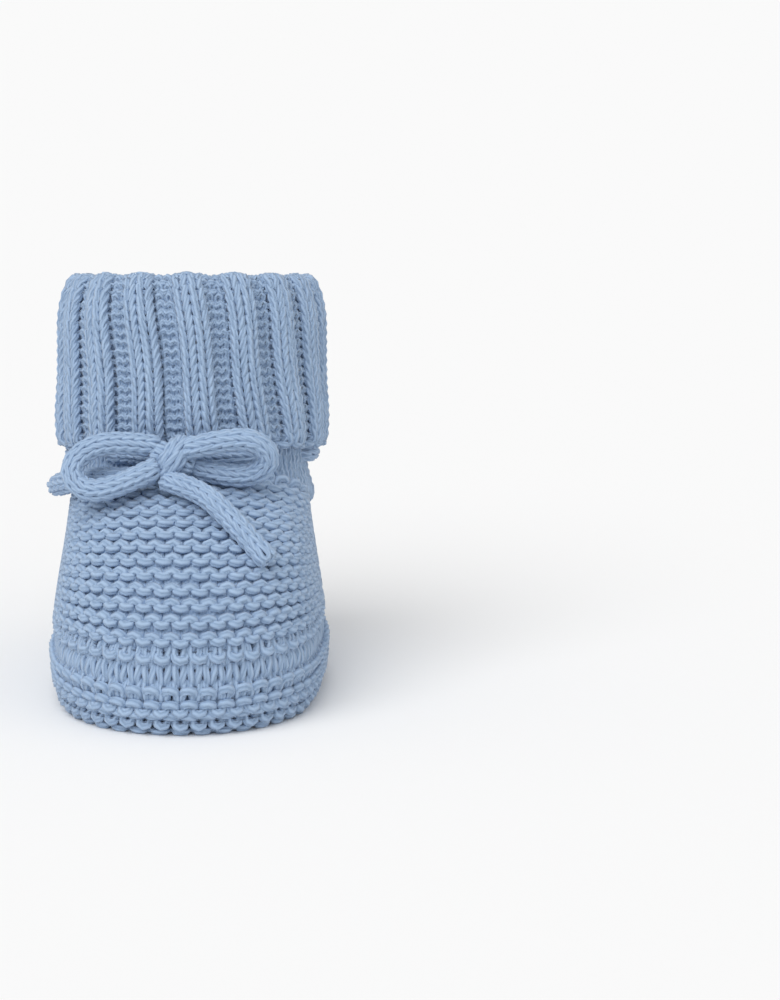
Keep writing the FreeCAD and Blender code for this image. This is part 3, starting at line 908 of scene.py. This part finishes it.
def sew_seam(name, body, slot):
    """A sewn join: one yarn whipped from side to side up the line of the frame's seam."""
    low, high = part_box(name)
    points = np.array([vertex.co[:] for vertex in frame["nodes"][name].data.vertices])
    edges = np.linspace(low.z, high.z, 15)
    middles = []
    for start, end in zip(edges[:-1], edges[1:]):
        near = points[(points[:, 2] >= start) & (points[:, 2] <= end)]
        if len(near):
            middles.append((near.min(axis=0) + near.max(axis=0)) / 2)
    if len(middles) < 2:
        raise RuntimeError(f"{name} has no length to sew")
    middle = even(np.array(middles), SEAM_POINTS, closed=False)
    stitches = max(4, round(reach_along(middle)[-1] / SEAM_STITCH))
    turn = np.linspace(0, TURN * stitches, STEPS * stitches)
    line = line_at(turn / turn[-1] * (SEAM_POINTS - 1), np.arange(SEAM_POINTS), middle)
    along = unit(np.gradient(line, axis=0))
    out = line * np.array((1.0, 1.0, 0.0))
    out = unit(out - along * np.sum(out * along, axis=1)[:, None])
    side = np.cross(along, out)
    line = line + side * (SEAM_SWING * np.sin(turn))[:, None]
    line = line + out * (SEAM_OUT + SEAM_RISE * np.cos(2 * turn))[:, None]
    fabric = YarnMesh()
    fabric.tube(line, out, knit().rib_yarn / 2, False)
    finish_yarn(fabric, name + "_stitches", body, slot, name)


# ------------------------------------------------------------------ cord

# Routes from the middle of the knot, in millimetres: across, forwards (-) or back (+), up.
CORD_ROUTES = {
    "bow_loop_left": [(-2.8, 0.8, 2.4), (-10.6, -1.0, 4.0), (-17.6, -2.0, 3.0), (-21.6, -3.2, -1.4),
                      (-18.6, -5.0, -6.0), (-11.5, -6.0, -5.0), (-3.0, -2.9, -1.2)],
    "bow_loop_right": [(2.8, -1.4, 2.3), (11.6, -3.0, 4.9), (18.2, -2.6, 4.5), (21.0, -1.4, 0.2),
                       (17.2, -0.4, -3.6), (10.0, 0.2, -3.5), (2.8, 1.4, -1.7)],
    "cord_tail_right": [(-1.5, -3.0, -3.8), (5.0, -6.9, -4.7), (11.6, -12.3, -8.4),
                        (20.6, -17.4, -17.8)],
    "cord_tail_left": [(-3.2, 0.2, -4.1), (-10.2, -0.2, -4.15), (-17.4, 3.0, -4.8), (-23.2, 9.0, -7.0),
                       (-25.6, 15.5, -9.0)],
}
CORD_BODIES = {"bow_loop_left": "left_bow", "cord_tail_left": "left_bow", "bow_loop_right": "right_bow",
               "cord_tail_right": "right_tail"}
EYELETS = 12
CORD_POINTS = 72
ANKLE_POINTS = 420
CORD_VARIETY = 0.04            # how much the cords' loops differ from cord to cord, as a share
KNOT_BULK = 1.15               # thickness of the knot's cord against the bow's
KNOT_TILT = math.radians(24)
KNOT_HEIGHT = 2.9 * MM         # reach of the wrap from the knot's middle, up and forward
KNOT_DEPTH = 2.6 * MM
KNOT_HALF_WIDTH = 4.3 * MM

def spline_points(name, points):
    """Points along the smooth line that a route's points pull into shape."""
    curve = bpy.data.curves.new(name + "_route", "CURVE")
    curve.dimensions = "3D"
    curve.resolution_u = 40
    spline = curve.splines.new("NURBS")
    spline.points.add(len(points) - 1)
    for place, point in zip(spline.points, points):
        place.co = (*point, 1)
    spline.order_u = 3
    spline.use_endpoint_u = True
    holder = bpy.data.objects.new(name + "_route", curve)
    bpy.context.scene.collection.objects.link(holder)
    bpy.context.view_layer.update()
    sampled = bpy.data.meshes.new_from_object(holder)
    line = np.array([vertex.co[:] for vertex in sampled.vertices])
    bpy.data.objects.remove(holder)
    bpy.data.meshes.remove(sampled)
    return even(line, CORD_POINTS, closed=False)


def cord_frames(line):
    """Two directions across a line that don't twist along it."""
    along = unit(np.gradient(line, axis=0))
    first = unit(np.cross(along[0], UP + 0.3 * SIDEWAYS))
    sides = [first]
    for step in along[1:]:
        moved = sides[-1] - step * np.dot(sides[-1], step)
        sides.append(moved / np.linalg.norm(moved))
    sides = np.array(sides)
    return sides, np.cross(along, sides)


def knitted_cord(fabric, core, line, diameter, rng, ends=(1.0, 1.0)):
    """A knitted tube of cord round a line, one yarn winding along it, and the core that fills it."""
    settings = cord_settings()
    yarn = settings.yarn * diameter / settings.diameter
    first, second = cord_frames(line)
    reach = reach_along(line)
    length = reach[-1]
    count = settings.stitches
    rounds = length / settings.course
    samples = int(rounds * count * RIB_STEPS)
    turn = np.linspace(0, TURN * rounds * count, samples)
    wind = (turn / TURN + LOOP_LEAN * np.sin(2 * turn)) / count
    loop = loop_reach(settings.course, yarn) * (1 + CORD_VARIETY * rng.standard_normal(1))
    place = turn / TURN / count * settings.course - loop * np.cos(turn)
    place = np.clip(place, 0.2 * yarn, length - 0.2 * yarn)
    bulk = diameter / 2 - yarn * 0.52
    taper = np.interp(place / length, (0, 0.03, 0.97, 1), (ends[0], 1, 1, ends[1]))
    radius = bulk * taper - 0.36 * yarn * np.cos(2 * turn)
    angle = TURN * wind
    outward = unit(line_at(place, reach, first) * np.cos(angle)[:, None]
                   + line_at(place, reach, second) * np.sin(angle)[:, None])
    fabric.tube(line_at(place, reach, line) + outward * radius[:, None], outward, yarn / 2, False)
    inside = line_at(np.linspace(0.6 * yarn, length - 0.6 * yarn, 80), reach, line)
    core.tube(inside, cord_frames(inside)[0], bulk * 0.86, False, sides=10)


def make_cords():
    """The bow's loops and tails, each free at the knot."""
    settings = cord_settings()
    for number, (name, offsets) in enumerate(CORD_ROUTES.items()):
        points = [KNOT + np.array(offset) * MM for offset in offsets]
        line = spline_points(name, points)
        fabric = YarnMesh()
        core = YarnMesh()
        knitted_cord(fabric, core, line, settings.diameter, np.random.default_rng(31 + number))
        piece = fabric.build(name + "_knit", cord_material())
        finish_piece(piece, CORD_BODIES[name], "cord_yarn", name)
        # The core is painted shade: a dark filling that stands for the shade inside the cord, seen between
        # its loops.
        inside = core.build(name + "_core", painted_shade_material())
        finish_piece(inside, CORD_BODIES[name], "cord_yarn")


def make_knot():
    """The knot: the cord wrapped once over the front, round the strands that run through it."""
    settings = cord_settings()
    rng = np.random.default_rng(41)
    fabric = YarnMesh()
    inside = YarnMesh()
    across = np.array((math.cos(KNOT_TILT), 0.0, -math.sin(KNOT_TILT)))
    over = np.array((math.sin(KNOT_TILT), 0.0, math.cos(KNOT_TILT)))
    wrap = []
    for angle in np.radians(np.linspace(-150, 150, 60)):
        wrap.append(KNOT + over * KNOT_HEIGHT * math.sin(angle) + FORWARD * KNOT_DEPTH * math.cos(angle)
                    + across * 0.9 * MM * math.sin(angle / 2))
    strand = [KNOT + across * share * KNOT_HALF_WIDTH + FORWARD * 0.3 * MM * (1 - share ** 2)
              for share in np.linspace(-1, 1, 30)]
    for line, end in ((wrap, 0.6), (strand, 0.5)):
        knitted_cord(fabric, inside, np.array(line), settings.diameter * KNOT_BULK, rng, ends=(end, end))
    piece = fabric.build("bow_knot_wrap", cord_material())
    finish_piece(piece, "foot", "cord_yarn", "bow_knot")
    # The knot's core is painted shade: a dark filling that stands for the shade inside the cord.
    finish_piece(inside.build("bow_knot_core", painted_shade_material()), "foot", "cord_yarn")


def make_ankle_cord():
    """The cord woven through the eyelets, outside and inside the band in turn."""
    settings = cord_settings()
    swing = settings.ankle_diameter / 2 + 0.5 * LEG_FABRIC
    ends = 3.6 * MM
    points = [KNOT + (SIDEWAYS * 0.5 + LEG_BACK) * ends]
    for angle in np.linspace(TURN / EYELETS, TURN - TURN / EYELETS, 20 * EYELETS):
        out = -0.5 * LEG_FABRIC + swing * np.tanh(1.6 * math.cos(angle * EYELETS / 2 + math.pi))
        points.append(leg_axis_point(BAND_TOP / 2) + SIDEWAYS * (LEG_HALF_WIDTH + out) * math.sin(angle)
                      - LEG_BACK * (LEG_HALF_DEPTH + out) * math.cos(angle))
    points.append(KNOT + (LEG_BACK - SIDEWAYS * 0.5) * ends)
    line = even(np.array(points), ANKLE_POINTS, closed=False)
    for _ in range(6):
        line[1:-1] = (line[:-2] + 2 * line[1:-1] + line[2:]) / 4
    fabric = YarnMesh()
    core = YarnMesh()
    knitted_cord(fabric, core, line, settings.ankle_diameter, np.random.default_rng(42))
    piece = fabric.build("ankle_cord_knit", cord_material())
    finish_piece(piece, "foot", "cord_yarn", "ankle_cord")
    # The ankle cord's core is painted shade: a dark filling that stands for the shade inside the cord.
    finish_piece(core.build("ankle_cord_core", painted_shade_material()), "foot", "cord_yarn")


# ------------------------------------------------------------------ stage

FLOOR_REACH = 12.0
SKY_LIGHT = 0.56               # how bright the surroundings light the bootie
SKY_SEEN = 0.93                # how bright they look behind it
# Name, direction, strength and spread in degrees.
LIGHTS = (("key", (-0.5, -0.8, 1.2), 1.72, 55), ("fill", (0.9, -0.6, 0.8), 0.25, 90))
SENSOR = 36                    # in millimetres
VIEW_OFFSET = (43.0 * MM, -4.5 * MM)     # the bootie stands left of the middle of the frame


def make_stage():
    """A pale floor, soft light and the camera."""
    scene = bpy.context.scene
    settings = scene.bootie_stage
    low, high = (np.array(corner[:]) for corner in CAD_BOX)
    middle = (low + high) / 2
    mesh = bpy.data.meshes.new("floor")
    corners = ((-1, -1), (1, -1), (1, 1), (-1, 1))
    mesh.from_pydata([(x * FLOOR_REACH, y * FLOOR_REACH, 0) for x, y in corners], [], [(0, 1, 2, 3)])
    floor = bpy.data.objects.new("floor", mesh)
    scene.collection.objects.link(floor)
    paint = bpy.data.materials.new("Pale floor")
    paint.use_nodes = True
    shader = paint.node_tree.nodes["Principled BSDF"]
    shader.inputs["Base Color"].default_value = (*settings.floor, 1)
    shader.inputs["Roughness"].default_value = 0.9
    shader.inputs["Specular IOR Level"].default_value = 0.0
    mesh.materials.append(paint)
    world = bpy.data.worlds.new("Soft studio")
    world.use_nodes = True
    tree = world.node_tree
    tree.nodes["Background"].inputs["Color"].default_value = (1, 1, 1, 1)
    seen = tree.nodes.new("ShaderNodeLightPath")
    brightness = tree.nodes.new("ShaderNodeMapRange")
    brightness.inputs["To Min"].default_value = SKY_LIGHT
    brightness.inputs["To Max"].default_value = SKY_SEEN
    tree.links.new(seen.outputs["Is Camera Ray"], brightness.inputs["Value"])
    tree.links.new(brightness.outputs["Result"], tree.nodes["Background"].inputs["Strength"])
    scene.world = world
    for name, way, strength, spread in LIGHTS:
        light = bpy.data.lights.new(name, "SUN")
        light.energy = strength
        light.angle = math.radians(spread)
        holder = bpy.data.objects.new(name, light)
        holder.rotation_euler = Vector(way).to_track_quat("Z", "Y").to_euler()
        scene.collection.objects.link(holder)
    camera = bpy.data.cameras.new("camera")
    camera.lens = settings.lens
    camera.sensor_width = SENSOR
    distance = settings.view_height * settings.lens / SENSOR
    holder = bpy.data.objects.new("camera", camera)
    forward = np.array((0.0, math.cos(settings.elevation), -math.sin(settings.elevation)))
    aim = np.array((VIEW_OFFSET[0], middle[1], middle[2] + VIEW_OFFSET[1]))
    holder.location = Vector(aim - forward * distance)
    holder.rotation_euler = Vector(-forward).to_track_quat("Z", "Y").to_euler()
    scene.collection.objects.link(holder)
    scene.camera = holder
    scene.view_settings.view_transform = "Standard"
    scene.view_settings.look = "None"
    camera.clip_start = 0.01


# ------------------------------------------------------------------ operators

# The foot's sheets behind its loops, all in painted shade.
# Name, nodes, body, slot, how far inside them it lies and the height on the leg's axis where it ends.
BACKINGS = (
    ("sole_back", SOLE_NODES, "foot", "sole_knit", 1.45 * MM, 0.0),
    ("wall_back", WALL_NODES, "foot", "foot_knit", 1.45 * MM, 0.0),
    ("upper_back", UPPER_NODES, "foot", "foot_knit", 1.3 * MM, -3.5 * MM),
)


class Step:
    """What every step of the making shares"""
    bl_options = {"REGISTER", "UNDO"}


class BOOTIE_OT_stage(Step, bpy.types.Operator):
    """Set out the floor, the light and the camera"""
    bl_idname = "bootie.stage"
    bl_label = "Stage"

    def execute(self, context):
        make_stage()
        return {"FINISHED"}


class BOOTIE_OT_bow(Step, bpy.types.Operator):
    """Knit the loops and tails of the bow"""
    bl_idname = "bootie.bow"
    bl_label = "Bow"

    def execute(self, context):
        make_cords()
        return {"FINISHED"}


class BOOTIE_OT_knot(Step, bpy.types.Operator):
    """Tie the knot"""
    bl_idname = "bootie.knot"
    bl_label = "Knot"

    def execute(self, context):
        make_knot()
        return {"FINISHED"}


class BOOTIE_OT_ankle_cord(Step, bpy.types.Operator):
    """Weave the cord through the eyelets"""
    bl_idname = "bootie.ankle_cord"
    bl_label = "Ankle cord"

    def execute(self, context):
        make_ankle_cord()
        return {"FINISHED"}


class BOOTIE_OT_foot(Step, bpy.types.Operator):
    """Knit the sole, the rim, the band, the instep and the quarters"""
    bl_idname = "bootie.foot"
    bl_label = "Foot"

    def execute(self, context):
        surface = frame_surface(SOLE_NODES + WALL_NODES + UPPER_NODES)
        knit_sole(surface)
        knit_wall(surface)
        knit_instep(surface)
        knit_quarters(surface)
        return {"FINISHED"}


class BOOTIE_OT_leg(Step, bpy.types.Operator):
    """Knit the leg and the eyelet band"""
    bl_idname = "bootie.leg"
    bl_label = "Leg"

    def execute(self, context):
        knit_leg()
        return {"FINISHED"}


class BOOTIE_OT_cuff(Step, bpy.types.Operator):
    """Knit the turned-down ribbed cuff"""
    bl_idname = "bootie.cuff"
    bl_label = "Cuff"

    def execute(self, context):
        knit_cuff()
        return {"FINISHED"}


class BOOTIE_OT_seams(Step, bpy.types.Operator):
    """Sew the heel, the instep's sides, the leg and the cuff together"""
    bl_idname = "bootie.seams"
    bl_label = "Seams"

    def execute(self, context):
        for spec in SEAMS:
            sew_seam(*spec)
        return {"FINISHED"}


class BOOTIE_OT_backs(Step, bpy.types.Operator):
    """Close the foot's knitting behind its front loops with sheets in painted shade"""
    bl_idname = "bootie.backs"
    bl_label = "Backs"

    def execute(self, context):
        for spec in BACKINGS:
            backing(*spec)
        return {"FINISHED"}


class BOOTIE_PT_panel(bpy.types.Panel):
    """The bootie's pieces, in the order they are made"""
    bl_idname = "BOOTIE_PT_panel"
    bl_label = "Knitted Bootie"
    bl_space_type = "VIEW_3D"
    bl_region_type = "UI"
    bl_category = "Bootie"

    def draw(self, context):
        for settings in (context.scene.bootie_knit, context.scene.bootie_cord, context.scene.bootie_stage):
            box = self.layout.box()
            for name in settings.__annotations__:
                box.prop(settings, name)
        for kind in OPERATORS:
            self.layout.operator(kind.bl_idname)


SETTINGS = (("bootie_knit", KnitSettings), ("bootie_cord", CordSettings), ("bootie_stage", StageSettings))
OPERATORS = (BOOTIE_OT_stage, BOOTIE_OT_bow, BOOTIE_OT_knot, BOOTIE_OT_ankle_cord, BOOTIE_OT_foot,
             BOOTIE_OT_leg, BOOTIE_OT_cuff, BOOTIE_OT_seams, BOOTIE_OT_backs)


def register():
    for name, kind in SETTINGS:
        bpy.utils.register_class(kind)
        setattr(bpy.types.Scene, name, bpy.props.PointerProperty(type=kind))
    for kind in (*OPERATORS, BOOTIE_PT_panel):
        bpy.utils.register_class(kind)


def unregister():
    for kind in (BOOTIE_PT_panel, *reversed(OPERATORS)):
        bpy.utils.unregister_class(kind)
    for name, kind in reversed(SETTINGS):
        delattr(bpy.types.Scene, name)
        bpy.utils.unregister_class(kind)


def main():
    register()
    bpy.ops.bootie.stage()
    bpy.ops.bootie.bow()
    bpy.ops.bootie.knot()
    bpy.ops.bootie.ankle_cord()
    bpy.ops.bootie.foot()
    bpy.ops.bootie.leg()
    bpy.ops.bootie.cuff()
    bpy.ops.bootie.seams()
    bpy.ops.bootie.backs()


if __name__ == "__main__":
    main()
